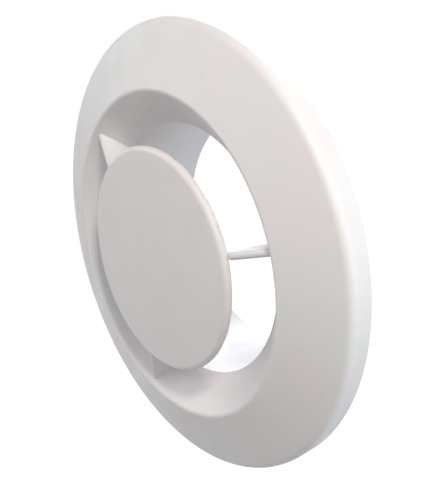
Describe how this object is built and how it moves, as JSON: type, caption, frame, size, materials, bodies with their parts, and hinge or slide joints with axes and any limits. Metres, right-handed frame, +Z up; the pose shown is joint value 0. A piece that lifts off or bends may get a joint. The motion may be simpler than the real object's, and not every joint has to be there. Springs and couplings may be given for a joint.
{
  "type": "ventilation grille",
  "caption": "Round wall air valve: dished white flange and funnel, adjustable centre disc on a screw, and a spigot sleeve that plugs into a round duct.",
  "frame": {"origin": "on the valve's axis, in the plane of the wall, where the spigot leaves the sleeve's plate", "axes": "+Y along the axis into the duct, -Y out into the room, +Z up"},
  "size_m": [0.165, 0.0534, 0.165],
  "materials": {
    "white_plastic": "satin",
    "nylon": "matte",
    "steel": "satin"
  },
  "bodies": {
    "housing": {"valve_body": "white_plastic", "mounting_sleeve": "white_plastic", "lock_ring": "nylon"},
    "washer": {"stop_washer": "steel"},
    "disc": {"valve_disc": "white_plastic", "spindle": "nylon", "retaining_clip": "steel"}
  },
  "joints": [
    {"name": "disc_travel", "type": "slide", "parent": "housing", "child": "washer", "axis": [0, -1, 0], "range_m": [0, 0.0076]},
    {"name": "disc_turn", "type": "hinge", "parent": "washer", "child": "disc", "pos_m": [0, 0, 0], "axis": [0, -1, 0], "range_deg": [0, 900]}
  ],
  "couplings": [
    {"joint": "disc_travel", "follows": "disc_turn", "m_per_rad": 0.00047746}
  ]
}
